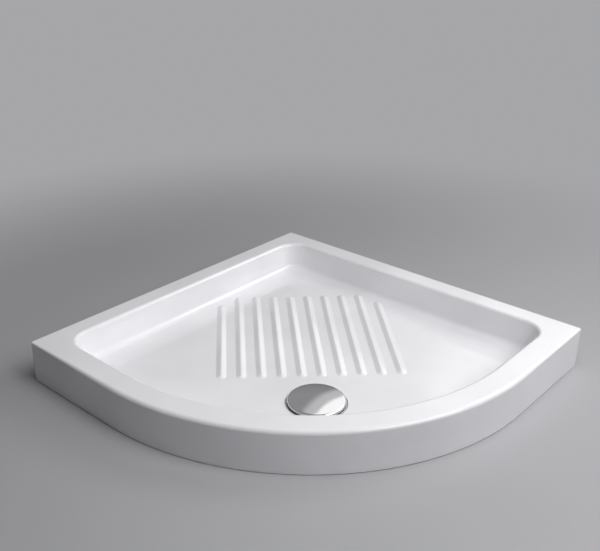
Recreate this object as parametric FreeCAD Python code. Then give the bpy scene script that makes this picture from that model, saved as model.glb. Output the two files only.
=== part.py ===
import FreeCAD, Part
import math
import os

# A quarter-round ceramic shower tray with its waste, in millimetres.
# The origin is on the room floor under the middle of the tray's square. The walls of the room stand on the
# -X and +Y sides, and the curved front faces +X and -Y. The tray mirrors itself across its diagonal.

V = FreeCAD.Vector

# Tray plan and height
SIDE = 800.0              # length of each side that stands against a wall
FRONT_RADIUS = 550.0      # plan radius of the curved front
HEIGHT = 90.0             # room floor to the top of the rim
WALL_RIM = 45.0           # rim width along the two wall sides
FRONT_RIM = 54.0          # rim width along the returns and the curved front
PLAN_CORNER = 5.0         # plan radius of the tray's outer corners
BASIN_CORNER = 50.0       # plan radius of the basin's corners at rim height
BASIN_LEAN = 14.0         # lean of the basin walls, degrees from upright

# Edge roundings
FRONT_EDGE = 8.0          # outer top edge along the curved front
WALL_EDGE = 3.0           # outer top edge along the wall sides
BASIN_EDGE = 8.0          # edge from the rim into the basin
BASIN_FOOT = 16.0         # hollow from the basin walls into the floor

# Ceramic walls and the open underside
SKIRT_WALL = 12.0
RIM_WALL = 12.0
BASIN_WALL = 11.0         # basin walls and floor
WEB_WALL = 10.0           # webs that stand on the room floor under the basin
WEB_PITCH = 80.0

# Basin floor, which falls to the waste from all sides
WASTE_SETBACK = 189.0     # waste axis to the foremost point of the curved front
FLOOR_HEIGHT = 25.0       # basin floor above the room floor, at the waste
FLOOR_FALL = 0.0095       # fall of the floor towards the waste
POOL_RADIUS = 66.0        # level ring of floor round the waste

# Anti-slip ribs, along the diagonal behind the waste
RIB_COUNT = 10
RIB_PITCH = 40.7
RIB_WIDTH = 21.0          # where the ribs' flanks meet the floor
RIB_HEIGHT = 4.5
RIB_CROWN = 5.0           # rounding along the ribs' tops
RIB_LENGTH = 363.0
RIB_SETBACK = 89.5        # waste axis to the front ends of the ribs
RIB_MARGIN = 84.6         # wall sides to the back ends of the ribs, which makes the outer ribs shorter
RIB_BLEND = 5.0           # hollow at the ribs' foot

# Waste flange and its seat in the ceramic
HOLE_DIAMETER = 90.0      # hole in the ceramic
HOLE_CLEARANCE = 1.2      # round the parts that pass through the hole
SEAT_WALL = 9.0           # ceramic between the two seals
SEAT_EDGE = 1.2
FLANGE_DIAMETER = 118.0
FLANGE_CLEARANCE = 1.0    # round the flange in its recess
FLANGE_WALL = 2.0         # thickness of the outer ring and the ledge
FLANGE_EDGE = 0.8
DISH_DEPTH = 8.0          # top of the flange down to its ledge
DISH_WALL = 1.5
FLANGE_OPENING = 68.0
UPPER_SEAL = 2.0          # thickness of the seal on the ceramic
LOWER_SEAL = 2.5          # thickness of the seal under the ceramic
SEAL_WIDTH = 12.0
SEAL_GAP = 1.0            # hole wall to the seals

# Waste body under the tray
BODY_CLEARANCE = 1.0      # body's underside above the room floor
BODY_FLANGE = 3.5
BODY_RIM = 2.0            # body flange past the lower seal
CUP_WALL = 2.0
CLAMP_GAP = 0.5           # flange ledge to the top of the body's neck
PIPE_BORE = 40.4          # socket for a 40 mm pipe that comes up out of the floor
PIPE_WALL = 2.3
PIPE_DEPTH = 11.0         # socket mouth to the stop
PIPE_STOP = 2.0           # height and depth of the stop ring
WEIR_GAP = 3.5            # top of the standpipe to the inside of the bell
GROOVE_RISE = 2.5         # socket mouth to the outlet seal's groove
OUTLET_SEAL = 4.0         # height of the outlet seal
GROOVE_DEPTH = 1.3
OUTLET_SEAL_GAP = 0.1     # seal face behind the socket's wall

# Clamping screws and their inserts
SCREW_COUNT = 4
SCREW_DIAMETER = 4.0
SCREW_LENGTH = 9.0        # whole length, with the countersunk head
SCREW_TIP_GAP = 0.5       # pilot hole past the tip
SCREW_HEAD = 7.2
SCREW_HEAD_HEIGHT = 1.6
SCREW_CLEARANCE = 0.05
SCREW_SLOT = 0.9          # width of the two slots of the cross
SCREW_SLOT_DEPTH = 0.8
INSERT_WALL = 0.8
INSERT_LENGTH = 6.0
BOSS_WALL = 1.6           # plastic round the inserts

# Trap bell
BELL_DIAMETER = 57.0
BELL_WALL = 2.0
BELL_LIP = 3.0            # lip of the bell above the cup's floor
BELL_CROWN = 5.5          # crown of the bell above its ring
BELL_CORNER = 3.0
RING_WALL = 2.0
RING_CLEARANCE = 0.8      # ring of the bell inside the dish
SLOT_COUNT = 12
SLOT_EDGE = 1.0           # slots to the bell and to the flange opening
SLOT_BRIDGE = 8.0         # degrees of ring left between two slots
BELL_GRIP = 14.0          # finger rib across the crown
BELL_GRIP_WALL = 3.0
BELL_GRIP_HEIGHT = 2.5

# Hair catcher
COMB_WALL = 1.5
COMB_INNER_EDGE = 0.5     # comb ring to the outer ends of the slots
PRONG_DIAMETER = 2.4
PRONG_HEIGHT = 4.5
PRONG_EDGE = 0.8          # prongs to the comb's inner edge
PRONGS_PER_BAY = 9        # between two legs of the cover

# Cover
COVER_DIAMETER = 114.0
COVER_GAP = 2.5           # cover above the flange, where the water runs in
COVER_SIDE = 1.0          # upright edge below the rounded lip
COVER_LIP = 5.0
COVER_CROWN = 420.0       # radius of the domed top
COVER_WALL = 1.2
LEG_COUNT = 3
LEG_DIAMETER = 5.0
CARRIER_WALL = 2.0
CARRIER_RISE = 0.6        # carrier plate above the cap's edge
CARRIER_CLEARANCE = 0.3   # plate inside the cap
CARRIER_RING = 80.0       # diameter of the ring that carries the crown
CARRIER_RING_WALL = 2.0
CROWN_CLEARANCE = 0.1
SMALL_EDGE = 0.5          # broken edges on the small parts
LIKENESS = 0.02           # how near a face's slope or radius must be to count as a rib's

# Places that follow from the sizes above
half = SIDE / 2
arc_centre = V(-half + SIDE - FRONT_RADIUS, half - SIDE + FRONT_RADIUS, 0)
along = V(1, -1, 0).normalize()      # down the diagonal, towards the curved front
across = V(1, 1, 0).normalize()
waste = arc_centre + along * (FRONT_RADIUS - WASTE_SETBACK)
lean = math.tan(math.radians(BASIN_LEAN))

hole_radius = HOLE_DIAMETER / 2
seat_top = FLOOR_HEIGHT - FLANGE_WALL - UPPER_SEAL
seat_bottom = seat_top - SEAT_WALL
dish_radius = hole_radius - HOLE_CLEARANCE
dish_inner = dish_radius - DISH_WALL
opening_radius = FLANGE_OPENING / 2
ledge_top = FLOOR_HEIGHT - DISH_DEPTH
ledge_bottom = ledge_top - FLANGE_WALL
seal_inner = hole_radius + SEAL_GAP
seal_outer = seal_inner + SEAL_WIDTH
screw_circle = (opening_radius + dish_inner) / 2
pilot_radius = SCREW_DIAMETER / 2 + SCREW_CLEARANCE
insert_radius = pilot_radius + INSERT_WALL

body_flange_top = seat_bottom - LOWER_SEAL
cup_floor = BODY_CLEARANCE + CUP_WALL
neck_top = ledge_bottom - CLAMP_GAP
neck_inner = dish_radius - CUP_WALL
pipe_radius = PIPE_BORE / 2
pipe_outer = pipe_radius + PIPE_WALL

bell_radius = BELL_DIAMETER / 2
ring_top = ledge_top + RING_WALL
ring_outer = dish_inner - RING_CLEARANCE
bell_top = ring_top + BELL_CROWN
weir_top = bell_top - BELL_WALL - WEIR_GAP
slot_outer = opening_radius - SLOT_EDGE
comb_top = ring_top + COMB_WALL
comb_inner = slot_outer + COMB_INNER_EDGE
prong_circle = comb_inner + PRONG_EDGE + PRONG_DIAMETER / 2

cover_radius = COVER_DIAMETER / 2
cover_edge = FLOOR_HEIGHT + COVER_GAP
carrier_bottom = cover_edge + CARRIER_RISE
carrier_top = carrier_bottom + CARRIER_WALL

crown_level = RIB_HEIGHT - RIB_CROWN
crown_reach = math.hypot(RIB_WIDTH / 2, crown_level)
rib_slope = math.asin(RIB_CROWN / crown_reach) + math.atan2(crown_level, RIB_WIDTH / 2)


# Helpers

def line(start, end):
    return Part.LineSegment(start, end).toShape()


def plan_arc(centre, radius, first, last, z):
    """An arc in plan between two bearings in degrees, with its end points."""
    bearings = [math.radians(a) for a in (first, (first + last) / 2, last)]
    points = [V(centre.x + radius * math.cos(a), centre.y + radius * math.sin(a), z) for a in bearings]
    return Part.Arc(*points).toShape(), points[0], points[2]


def plan(wall_inset, front_inset, corner, z):
    """The tray's plan as a closed wire, drawn in from the wall sides and the front, with round corners."""
    left, back = -half + wall_inset, half - wall_inset
    right, near = half - front_inset, -half + front_inset
    arcs = [
        plan_arc(V(left + corner, near + corner), corner, 270, 180, z),
        plan_arc(V(left + corner, back - corner), corner, 180, 90, z),
        plan_arc(V(right - corner, back - corner), corner, 90, 0, z),
        plan_arc(arc_centre, FRONT_RADIUS - front_inset, 0, -90, z),
    ]
    edges = []
    for (edge, _, end), (_, start, _) in zip(arcs, arcs[1:] + arcs[:1]):
        edges += [edge, line(end, start)]
    return Part.Wire(edges)


def prism(wire, height):
    return Part.Face(wire).extrude(V(0, 0, height))


def border(shape, chosen):
    """Edges between the faces that pass a test and the faces that don't."""
    inside = [face for face in shape.Faces if chosen(face)]
    outside = [edge for face in shape.Faces if not chosen(face) for edge in face.Edges]
    return [e for face in inside for e in face.Edges if any(e.isSame(other) for other in outside)]


def turned(points):
    """A solid of revolution about the waste axis, from a closed outline of (radius, height) points."""
    corners = [V(waste.x + r, waste.y, z) for r, z in points]
    wire = Part.makePolygon(corners + corners[:1])
    return Part.Face(wire).revolve(waste, V(0, 0, 1), 360)


def ring(inner, outer, bottom, top):
    return turned([(inner, bottom), (outer, bottom), (outer, top), (inner, top)])


def at_waste(radius, bearing, z):
    """A point round the waste axis, its bearing counted from the diagonal."""
    angle = math.radians(bearing)
    return waste + along * (radius * math.cos(angle)) + across * (radius * math.sin(angle)) + V(0, 0, z)


def diagonal_box(length, width, height, middle):
    """A box that runs along the diagonal, standing on the middle of its underside."""
    box = Part.makeBox(length, width, height, middle - V(length / 2, width / 2, 0))
    return box.rotated(middle, V(0, 0, 1), math.degrees(math.atan2(along.y, along.x)))


def post(radius, place, height):
    return Part.makeCylinder(radius, height, place)


def rounded(shape, radius, chosen):
    """Rounds the edges whose middle passes a test."""
    middles = [(e, e.valueAt((e.FirstParameter + e.LastParameter) / 2)) for e in shape.Edges]
    return shape.makeFillet(radius, [e for e, middle in middles if chosen(middle)])


# Ceramic tray

def floor_height(place):
    """Height of the basin floor at a place in plan."""
    return FLOOR_HEIGHT + FLOOR_FALL * max(0, (place - waste).Length - POOL_RADIUS)


def above_floor(drop):
    """All that lies above the basin floor, or above a floor that is lower by drop."""
    run = 2 * SIDE
    start = waste + V(0, 0, FLOOR_HEIGHT - drop)
    funnel = Part.makeCone(POOL_RADIUS, POOL_RADIUS + run, run * FLOOR_FALL, start)
    rest = Part.makeCylinder(POOL_RADIUS + run, HEIGHT, start + V(0, 0, run * FLOOR_FALL))
    return funnel.fuse(rest).removeSplitter()


def basin_space(grow):
    """The basin as a solid, with walls moved outwards and floor moved down by grow."""
    wires = []
    for z in (2 * HEIGHT, 0):
        inset = (HEIGHT - z) * lean - grow
        wires.append(plan(WALL_RIM + inset, FRONT_RIM + inset, BASIN_CORNER - inset, z))
    return Part.makeLoft(wires, True, True).common(above_floor(grow)).Solids[0]


def rib_bar(place, length):
    """A ridge with round ends that shows above the floor as one rib, place being its front end."""
    front = place - along * (RIB_WIDTH / 2)
    back = place - along * (length - RIB_WIDTH / 2)
    start = V(front.x, front.y, floor_height(front))
    run = V(back.x, back.y, floor_height(back)) - start
    up = across.cross(run).normalize()

    def spot(reach, height):
        return start + across * reach + up * height

    def crown(angle):
        return spot(RIB_CROWN * math.sin(angle), crown_level + RIB_CROWN * math.cos(angle))

    foot = RIB_WIDTH / 2 + RIB_HEIGHT / math.tan(rib_slope)
    right, left = spot(foot, -RIB_HEIGHT), spot(-foot, -RIB_HEIGHT)
    middle = spot(0, -RIB_HEIGHT)
    over = Part.Arc(crown(rib_slope), crown(0), crown(-rib_slope)).toShape()
    section = Part.Wire([
        line(right, crown(rib_slope)), over, line(crown(-rib_slope), left), line(left, right)])
    half_over = Part.Arc(crown(rib_slope), crown(rib_slope / 2), crown(0)).toShape()
    half_section = Part.Wire([
        line(middle, right), line(right, crown(rib_slope)), half_over, line(crown(0), middle)])
    front_end = Part.Face(half_section).revolve(start, up, -180)
    back_end = Part.Face(half_section).revolve(start, up, 180).translated(run)
    return Part.Face(section).extrude(run).fuse([front_end, back_end]).removeSplitter()


def ribs():
    """The row of ribs, each as long as its margin from the wall sides lets it be."""
    bars = []
    for i in range(RIB_COUNT):
        offset = (i - (RIB_COUNT - 1) / 2) * RIB_PITCH
        place = waste - along * RIB_SETBACK + across * offset
        room = (half - RIB_MARGIN + min(place.x, -place.y)) * math.sqrt(2)
        bars.append(rib_bar(place, min(RIB_LENGTH, room)))
    return bars


def basin_cutter():
    """What the basin takes out of the block: walls, hollow at their foot, and the ribs left standing."""
    space = basin_space(0)

    def is_floor(face):
        return face.CenterOfMass.z < HEIGHT / 2 and face.BoundBox.ZLength < HEIGHT / 2

    space = space.makeFillet(BASIN_FOOT, border(space, is_floor))
    space = space.cut(ribs()).Solids[0]

    def is_rib(face):
        first, last, low, high = face.ParameterRange
        steepness = abs(face.normalAt((first + last) / 2, (low + high) / 2).z)
        is_flank = abs(steepness - math.cos(rib_slope)) < LIKENESS
        is_crown = abs(getattr(face.Surface, "Radius", 0) - RIB_CROWN) < LIKENESS
        return is_flank or is_crown

    return space.makeFillet(RIB_BLEND, border(space, is_rib))


def block():
    """The tray before it is hollowed, its outer top edge rounding out from the walls to the curved front."""
    body = prism(plan(0, 0, PLAN_CORNER, 0), HEIGHT)
    document = FreeCAD.newDocument()
    base = document.addObject("Part::Feature")
    base.Shape = body
    edged = document.addObject("Part::Fillet")
    edged.Base = base
    radii = []
    for number, edge in enumerate(body.Edges, 1):
        if edge.BoundBox.ZMin < HEIGHT - SMALL_EDGE:
            continue
        ends = [edge.valueAt(edge.FirstParameter), edge.valueAt(edge.LastParameter)]
        flat = V(arc_centre.x, arc_centre.y, HEIGHT)
        on_front = [abs((end - flat).Length - FRONT_RADIUS) < SMALL_EDGE for end in ends]
        radii.append((number, *[FRONT_EDGE if front else WALL_EDGE for front in on_front]))
    edged.Edges = radii
    document.recompute()
    return edged.Shape.Solids[0]


def underside():
    """The hollow that opens downwards, between the skirt and the basin, with the webs left standing."""
    inside_skirt = prism(plan(SKIRT_WALL, SKIRT_WALL, PLAN_CORNER, 0), HEIGHT - RIM_WALL)
    hollow = inside_skirt.cut(basin_space(BASIN_WALL))
    pocket = Part.makeCylinder(POOL_RADIUS, HEIGHT, waste)
    boss = Part.makeCylinder(POOL_RADIUS, HEIGHT, waste + V(0, 0, seat_bottom))
    count = int(SIDE / math.sqrt(2) / WEB_PITCH)
    for i in range(-count, count + 1):
        web = diagonal_box(2 * SIDE, WEB_WALL, HEIGHT, across * (i * WEB_PITCH))
        hollow = hollow.cut(web.cut(pocket))
    return hollow.cut(boss)


def tray_body():
    body = block().cut(basin_cutter()).Solids[0]
    rim = max((f for f in body.Faces if f.BoundBox.ZMin > HEIGHT - SMALL_EDGE), key=lambda f: f.Area)
    inner = [wire for wire in rim.Wires if not wire.isSame(rim.OuterWire)][0]
    body = body.makeFillet(BASIN_EDGE, inner.Edges)
    body = body.cut(underside())
    recess_radius = FLANGE_DIAMETER / 2 + FLANGE_CLEARANCE
    body = body.cut(Part.makeCylinder(recess_radius, HEIGHT, waste + V(0, 0, seat_top)))
    body = body.cut(Part.makeCylinder(hole_radius, HEIGHT, waste))

    def recess_rim(point):
        level = abs(point.z - FLOOR_HEIGHT) < SMALL_EDGE
        return level and abs((V(point.x, point.y, 0) - waste).Length - recess_radius) < SMALL_EDGE

    return rounded(body, SEAT_EDGE, recess_rim)


# Waste, from the ceramic outwards

def waste_flange():
    """Dished flange: outer ring on the upper seal, wall down through the hole, ledge with screw holes."""
    outer = FLANGE_DIAMETER / 2
    shape = turned([
        (dish_inner, FLOOR_HEIGHT), (outer, FLOOR_HEIGHT),
        (outer, FLOOR_HEIGHT - FLANGE_WALL), (dish_radius, FLOOR_HEIGHT - FLANGE_WALL),
        (dish_radius, ledge_bottom), (opening_radius, ledge_bottom),
        (opening_radius, ledge_top), (dish_inner, ledge_top),
    ])
    shape = rounded(shape, FLANGE_EDGE, lambda p: p.z > FLOOR_HEIGHT - SMALL_EDGE)
    return shape.cut([screw(SCREW_CLEARANCE, place) for place in screw_places()])


def screw_places():
    bearings = [(i + 0.5) * 360 / SCREW_COUNT for i in range(SCREW_COUNT)]
    return [at_waste(screw_circle, bearing, ledge_top) for bearing in bearings]


def screw(clearance, place):
    """A countersunk screw without its cross, place being the middle of its head."""
    head, shank = SCREW_HEAD / 2 + clearance, SCREW_DIAMETER / 2 + clearance
    cone = Part.makeCone(shank, head, SCREW_HEAD_HEIGHT, place - V(0, 0, SCREW_HEAD_HEIGHT))
    return cone.fuse(post(shank, place - V(0, 0, SCREW_LENGTH), SCREW_LENGTH)).removeSplitter()


def flange_screws():
    screws = []
    for place in screw_places():
        slot = diagonal_box(SCREW_HEAD / 2, SCREW_SLOT, HEIGHT, place - V(0, 0, SCREW_SLOT_DEPTH))
        cross = slot.rotated(place, V(0, 0, 1), 90)
        screws.append(screw(0, place).cut([slot, cross]).Solids[0])
    return Part.makeCompound(screws)


def insert_places():
    return [V(p.x, p.y, neck_top - INSERT_LENGTH) for p in screw_places()]


def screw_inserts():
    tubes = []
    for place in insert_places():
        bore = post(pilot_radius, place, INSERT_LENGTH)
        tubes.append(post(insert_radius, place, INSERT_LENGTH).cut(bore))
    return Part.makeCompound(tubes)


def upper_seal():
    return ring(seal_inner, seal_outer, seat_top, seat_top + UPPER_SEAL)


def lower_seal():
    return ring(seal_inner, seal_outer, body_flange_top, seat_bottom)


def waste_body():
    """Cup with a clamping flange, a neck up through the hole, the standpipe, and bosses for the inserts."""
    flange_outer = seal_outer + BODY_RIM
    flange_bottom = body_flange_top - BODY_FLANGE
    cup = turned([
        (pipe_radius, BODY_CLEARANCE), (dish_radius, BODY_CLEARANCE), (dish_radius, flange_bottom),
        (flange_outer, flange_bottom), (flange_outer, body_flange_top), (dish_radius, body_flange_top),
        (dish_radius, neck_top), (neck_inner, neck_top), (neck_inner, cup_floor), (pipe_outer, cup_floor),
        (pipe_outer, weir_top), (pipe_radius, weir_top),
    ])
    stop_bottom = BODY_CLEARANCE + PIPE_DEPTH
    cup = cup.fuse(ring(pipe_radius - PIPE_STOP, pipe_outer, stop_bottom, stop_bottom + PIPE_STOP))
    for place in screw_places():
        boss = post(insert_radius + BOSS_WALL, V(place.x, place.y, BODY_CLEARANCE), neck_top - BODY_CLEARANCE)
        cup = cup.fuse(boss.common(Part.makeCylinder(dish_radius, HEIGHT, waste)))
    cup = cup.removeSplitter()
    pilot_depth = V(0, 0, SCREW_LENGTH + SCREW_TIP_GAP)
    cup = cup.cut([post(pilot_radius, place - pilot_depth, HEIGHT) for place in screw_places()])
    cup = cup.cut([post(insert_radius, place, HEIGHT) for place in insert_places()])
    groove_bottom = BODY_CLEARANCE + GROOVE_RISE
    return cup.cut(ring(pipe_radius, pipe_radius + GROOVE_DEPTH, groove_bottom, groove_bottom + OUTLET_SEAL))


def outlet_seal():
    bottom = BODY_CLEARANCE + GROOVE_RISE
    return ring(pipe_radius + OUTLET_SEAL_GAP, pipe_radius + GROOVE_DEPTH, bottom, bottom + OUTLET_SEAL)


def trap_bell():
    """Bell over the standpipe, hung in the flange by a slotted ring, with a finger rib on its crown."""
    inner = bell_radius - BELL_WALL
    lip = cup_floor + BELL_LIP
    bell = turned([
        (inner, lip), (bell_radius, lip), (bell_radius, ledge_top), (ring_outer, ledge_top),
        (ring_outer, ring_top), (bell_radius, ring_top), (bell_radius, bell_top), (0, bell_top),
        (0, bell_top - BELL_WALL), (inner, bell_top - BELL_WALL),
    ])
    bell = rounded(bell, BELL_CORNER, lambda p: p.z > bell_top - SMALL_EDGE and (p - waste).Length > inner)
    slot = Part.makePolygon([
        at_waste(r, 0, z) for r, z in (
            (bell_radius + SLOT_EDGE, ledge_top), (slot_outer, ledge_top), (slot_outer, ring_top),
            (bell_radius + SLOT_EDGE, ring_top), (bell_radius + SLOT_EDGE, ledge_top))
    ])
    step = 360 / SLOT_COUNT
    cutter = Part.Face(slot).revolve(waste, V(0, 0, 1), step - SLOT_BRIDGE)
    starts = [SLOT_BRIDGE / 2 + i * step for i in range(SLOT_COUNT)]
    bell = bell.cut([cutter.rotated(waste, V(0, 0, 1), start) for start in starts])
    rooted = BELL_WALL / 2
    foot = waste + V(0, 0, bell_top - rooted)
    grip = diagonal_box(BELL_GRIP, BELL_GRIP_WALL, rooted + BELL_GRIP_HEIGHT, foot)
    return bell.fuse(grip).removeSplitter()


def leg_bearings():
    return [i * 360 / LEG_COUNT for i in range(LEG_COUNT)]


def hair_catcher():
    """Comb ring on the bell's ring, its prongs standing in bays between the legs of the cover."""
    comb = ring(comb_inner, ring_outer, ring_top, comb_top)
    step = 360 / LEG_COUNT / (PRONGS_PER_BAY + 1)
    prongs = []
    for bearing in leg_bearings():
        for i in range(1, PRONGS_PER_BAY + 1):
            place = at_waste(prong_circle, bearing + i * step, ring_top)
            prongs.append(post(PRONG_DIAMETER / 2, place, COMB_WALL + PRONG_HEIGHT))
    return comb.fuse(prongs).removeSplitter()


# Cover

def cover_profile(offset):
    """The cap's outer surface, moved inwards by offset: side, rounded lip and domed crown, as edges."""
    radius, lip, crown = cover_radius - offset, COVER_LIP - offset, COVER_CROWN - offset
    lip_centre = V(cover_radius - COVER_LIP, 0, cover_edge + COVER_SIDE)
    crown_drop = math.sqrt((COVER_CROWN - COVER_LIP) ** 2 - lip_centre.x ** 2)
    crown_centre = V(0, 0, lip_centre.z - crown_drop)
    meeting = math.atan2(crown_drop, lip_centre.x)

    def on(centre, size, angle):
        return waste + centre + V(size * math.cos(angle), 0, size * math.sin(angle))

    foot = waste + V(radius, 0, cover_edge)
    shoulder = on(lip_centre, lip, 0)
    joint = on(lip_centre, lip, meeting)
    top = on(crown_centre, crown, math.pi / 2)
    edges = [
        line(foot, shoulder),
        Part.Arc(shoulder, on(lip_centre, lip, meeting / 2), joint).toShape(),
        Part.Arc(joint, on(crown_centre, crown, (meeting + math.pi / 2) / 2), top).toShape(),
    ]
    return edges, foot, top


def cover_cap():
    """Pressed cap with a rounded lip and a slightly domed top."""
    outer, outer_foot, outer_top = cover_profile(0)
    inner, inner_foot, inner_top = cover_profile(COVER_WALL)
    ends = [line(outer_top, inner_top), line(inner_foot, outer_foot)]
    section = Part.Wire(Part.__sortEdges__(outer + inner + ends))
    return Part.Face(section).revolve(waste, V(0, 0, 1), 360)


def crown_underside(radius):
    """Height of the inside of the cap's crown at a radius."""
    _, _, top = cover_profile(COVER_WALL)
    size = COVER_CROWN - COVER_WALL
    return top.z - size + math.sqrt(size ** 2 - radius ** 2)


def cover_carrier():
    """Plate inside the cap, with a ring up to the crown and three legs down to the hair catcher."""
    lip_inside = COVER_LIP - COVER_WALL
    lip_rise = carrier_top - cover_edge - COVER_SIDE
    inside_lip = cover_radius - COVER_LIP + math.sqrt(lip_inside ** 2 - lip_rise ** 2)
    plate_radius = inside_lip - CARRIER_CLEARANCE
    ring_radius = CARRIER_RING / 2
    shape = ring(ring_radius - CARRIER_RING_WALL - LEG_DIAMETER, plate_radius, carrier_bottom, carrier_top)
    ring_top_height = crown_underside(ring_radius) - CROWN_CLEARANCE
    shape = shape.fuse(ring(ring_radius - CARRIER_RING_WALL, ring_radius, carrier_bottom, ring_top_height))
    for bearing in leg_bearings():
        foot = at_waste(prong_circle, bearing, comb_top)
        shape = shape.fuse(post(LEG_DIAMETER / 2, foot, carrier_top - comb_top))
    return shape.removeSplitter()


NODES = [
    tray_body, waste_flange, flange_screws, screw_inserts, upper_seal, lower_seal, waste_body, outlet_seal,
    trap_bell, hair_catcher, cover_carrier, cover_cap,
]

os.makedirs("parts", exist_ok=True)
for node in NODES:
    node().exportStep("parts/" + node.__name__ + ".step")
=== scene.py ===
import math
from functools import partial

import bmesh
import bpy
from bpy.props import FloatProperty, FloatVectorProperty, IntProperty, PointerProperty
from bpy.types import Operator, Panel, PropertyGroup
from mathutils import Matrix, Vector
from mathutils.geometry import delaunay_2d_cdt
from mathutils.kdtree import KDTree


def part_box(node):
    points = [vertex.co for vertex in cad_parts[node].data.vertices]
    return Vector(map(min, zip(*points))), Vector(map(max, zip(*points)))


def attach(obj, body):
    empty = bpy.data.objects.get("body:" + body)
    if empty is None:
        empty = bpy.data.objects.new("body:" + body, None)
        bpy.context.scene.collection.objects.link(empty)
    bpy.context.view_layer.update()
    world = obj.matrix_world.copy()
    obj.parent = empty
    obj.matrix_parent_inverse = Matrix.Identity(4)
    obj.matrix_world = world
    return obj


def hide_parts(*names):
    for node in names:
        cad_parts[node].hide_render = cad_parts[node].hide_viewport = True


bl_info = {
    "name": "Quadrant Shower Tray",
    "version": (1, 0, 0),
    "blender": (4, 5, 0),
    "location": "View3D > Sidebar > Shower Tray",
    "description": "Builds a glazed quarter-round shower tray with its waste, and a studio to see it in",
    "category": "Object",
}

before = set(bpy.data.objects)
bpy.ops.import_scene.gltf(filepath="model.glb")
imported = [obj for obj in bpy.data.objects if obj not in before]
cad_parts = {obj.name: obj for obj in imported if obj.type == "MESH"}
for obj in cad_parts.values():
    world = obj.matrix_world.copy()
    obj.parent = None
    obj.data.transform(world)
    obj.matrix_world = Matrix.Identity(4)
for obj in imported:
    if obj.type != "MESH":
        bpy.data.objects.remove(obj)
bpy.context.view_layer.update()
TRAY_LOW, TRAY_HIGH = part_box("tray_body")
CAP_LOW, CAP_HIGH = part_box("cover_cap")
WASTE = (CAP_LOW + CAP_HIGH) / 2

MM = 0.001
QUARTER, TURN = math.pi / 2, 2 * math.pi
ALONG = Vector((1, -1, 0)).normalized()    # down the diagonal, towards the curved front
ACROSS = Vector((1, 1, 0)).normalized()
SUPPORT = 0.6 * MM    # extra loops beside a rounding, which keep flat faces flat
WELD = 0.01 * MM    # points nearer than this become one
CAD_WELD = 0.02 * MM    # the same for a copy of a CAD mesh
CREASE = math.radians(32)    # edges that turn by more are shaded sharp


def linear(code):
    """An sRGB hex colour as linear red, green and blue."""
    parts = [int(code[i:i + 2], 16) / 255 for i in (1, 3, 5)]
    return tuple(c / 12.92 if c <= 0.04045 else ((c + 0.055) / 1.055) ** 2.4 for c in parts)


def measure(scale, unit, name, value, description, **limits):
    """A property for a measure, written in one scale and kept in metres, radians or watts."""
    return FloatProperty(name=name, description=description, default=value * scale, unit=unit, **limits)


length = partial(measure, MM, "LENGTH", min=0)    # written in millimetres
degrees = partial(measure, math.radians(1), "ROTATION")
power = partial(measure, 1, "POWER", min=0)
amount = partial(measure, 1, "NONE", min=0)


def number(name, value, description, **limits):
    """A property for how many pieces there are."""
    return IntProperty(name=name, description=description, default=value, **limits)


def colour(name, code, description):
    """A property for a colour, written as sRGB hex."""
    return FloatVectorProperty(
        name=name, description=description, default=linear(code), size=3, min=0, max=1, subtype="COLOR")


# Sizes and colours

class TraySizes(PropertyGroup):
    """Sizes of the ceramic tray."""
    side: length("Side", (TRAY_HIGH.x - TRAY_LOW.x) / MM, "Length of each side that stands against a wall")
    height: length("Height", (TRAY_HIGH.z - TRAY_LOW.z) / MM, "Room floor to the top of the rim")
    front_radius: length("Front Radius", 550, "Plan radius of the curved front")
    wall_rim: length("Wall Rim", 45, "Rim width along the wall sides")
    front_rim: length("Front Rim", 54, "Rim width along the curved front")
    plan_corner: length("Outer Corner", 5, "Plan radius of the outer corners")
    basin_corner: length("Basin Corner", 50, "Plan radius of the basin's corners at rim height")
    lean: degrees("Basin Lean", 14, "Lean of the basin walls from upright", min=0, max=math.radians(45))
    front_edge: length("Front Edge", 8, "Rounding of the outer top edge along the curved front")
    wall_edge: length("Wall Edge", 3, "Rounding of the outer top edge along the wall sides")
    foot_edge: length("Foot Edge", 2.5, "Rounding of the skirt's edge that stands on the floor")
    bare_foot: length("Bare Foot", 0.8, "Height of the foot edge that is left without glaze")
    basin_edge: length("Basin Edge", 8, "Rounding from the rim into the basin")
    basin_foot: length("Basin Foot", 16, "Hollow from the basin walls into the floor")
    floor_level: length("Floor Level", 25, "Basin floor above the room floor, at the waste")
    floor_fall: amount("Floor Fall", 0.0095, "Fall of the basin floor towards the waste", max=0.1)
    pool: length("Pool Radius", 66, "Level ring of floor round the waste")
    recess: length("Recess Radius", 60, "Recess in the floor that takes the waste flange")
    recess_edge: length("Recess Edge", 1.2, "Rounding of the recess's edge")


class RibSizes(PropertyGroup):
    """Sizes of the anti-slip ribs."""
    count: number("Count", 10, "Ribs in the row", min=1, max=40)
    pitch: length("Pitch", 40.7, "Middle of one rib to the middle of the next")
    width: length("Width", 21, "Width of a rib where its flanks meet the floor")
    height: length("Height", 4.5, "Rise of a rib above the floor")
    crown: length("Crown", 5, "Rounding along the top of a rib")
    run: length("Length", 363, "Length of a rib")
    end_run: length("End Length", 322, "Length of the two ribs at the ends of the row")
    setback: length("Setback", 89.5, "Waste axis to the front ends of the ribs")
    blend: length("Blend", 5, "Hollow at the foot of a rib")


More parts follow.
